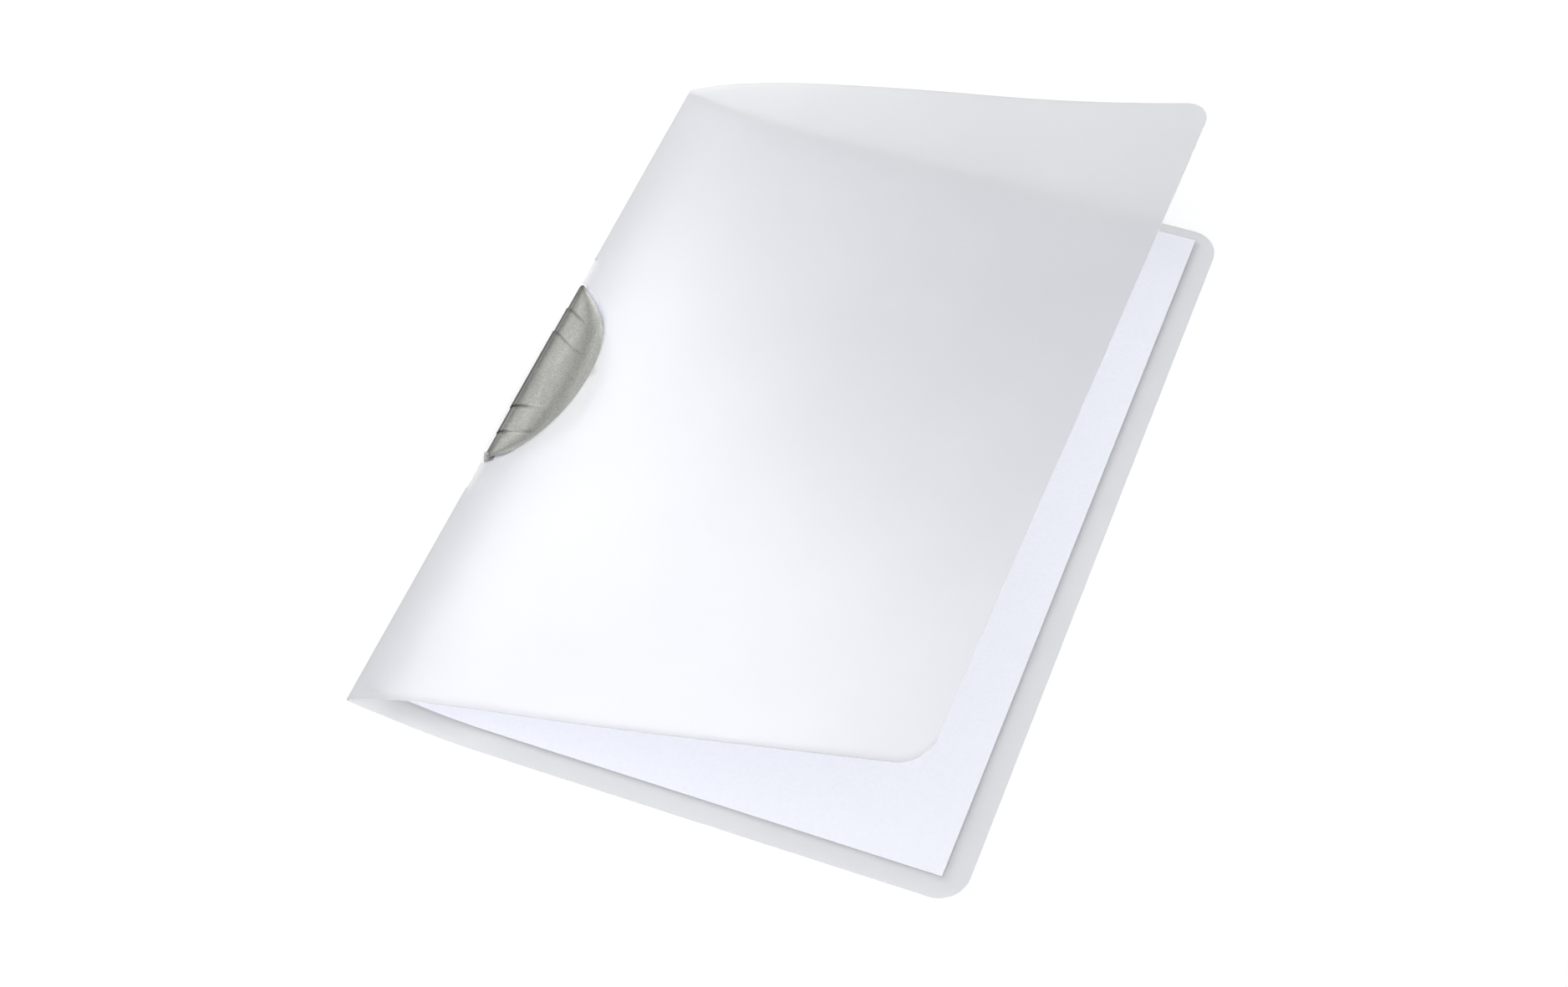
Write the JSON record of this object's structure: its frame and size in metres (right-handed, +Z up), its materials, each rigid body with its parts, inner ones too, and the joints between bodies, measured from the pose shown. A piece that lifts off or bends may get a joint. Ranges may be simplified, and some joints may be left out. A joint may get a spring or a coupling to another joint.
{
  "type": "clip folder",
  "caption": "A4 folder of frosted plastic sheet with a half-moon clip in the spine that swings out to hold or free loose sheets.",
  "frame": {"origin": "under the middle of the whole folder as it lies, at table height", "axes": "+X from the spine towards the free edges of the covers, +Y along the spine towards the top of the sheets, +Z up"},
  "size_m": [0.2224, 0.31, 0.0808],
  "materials": {
    "frosted_sheet": "frosted translucent polypropylene sheet",
    "paper": "plain white copy paper",
    "clip_plastic": "satin silver-grey moulded plastic with a fine brushed grain",
    "pin_steel": "satin"
  },
  "bodies": {
    "folder": {"back_cover": "frosted_sheet", "paper_sheets": "paper"},
    "cover": {"front_cover": "frosted_sheet"},
    "spring_clip": {"clip": "clip_plastic", "pivot_pin": "pin_steel"}
  },
  "joints": [
    {"name": "cover_hinge", "type": "hinge", "parent": "folder", "child": "cover", "pos_m": [-0.11036, 0, 0.0075], "axis": [0, -1, 0], "range_deg": [-17.5, 115]},
    {"name": "clip_swing", "type": "hinge", "parent": "folder", "child": "spring_clip", "pos_m": [-0.10952, -0.043, 0.00638], "axis": [0.1564, 0, 0.9877], "range_deg": [0, 120]}
  ]
}
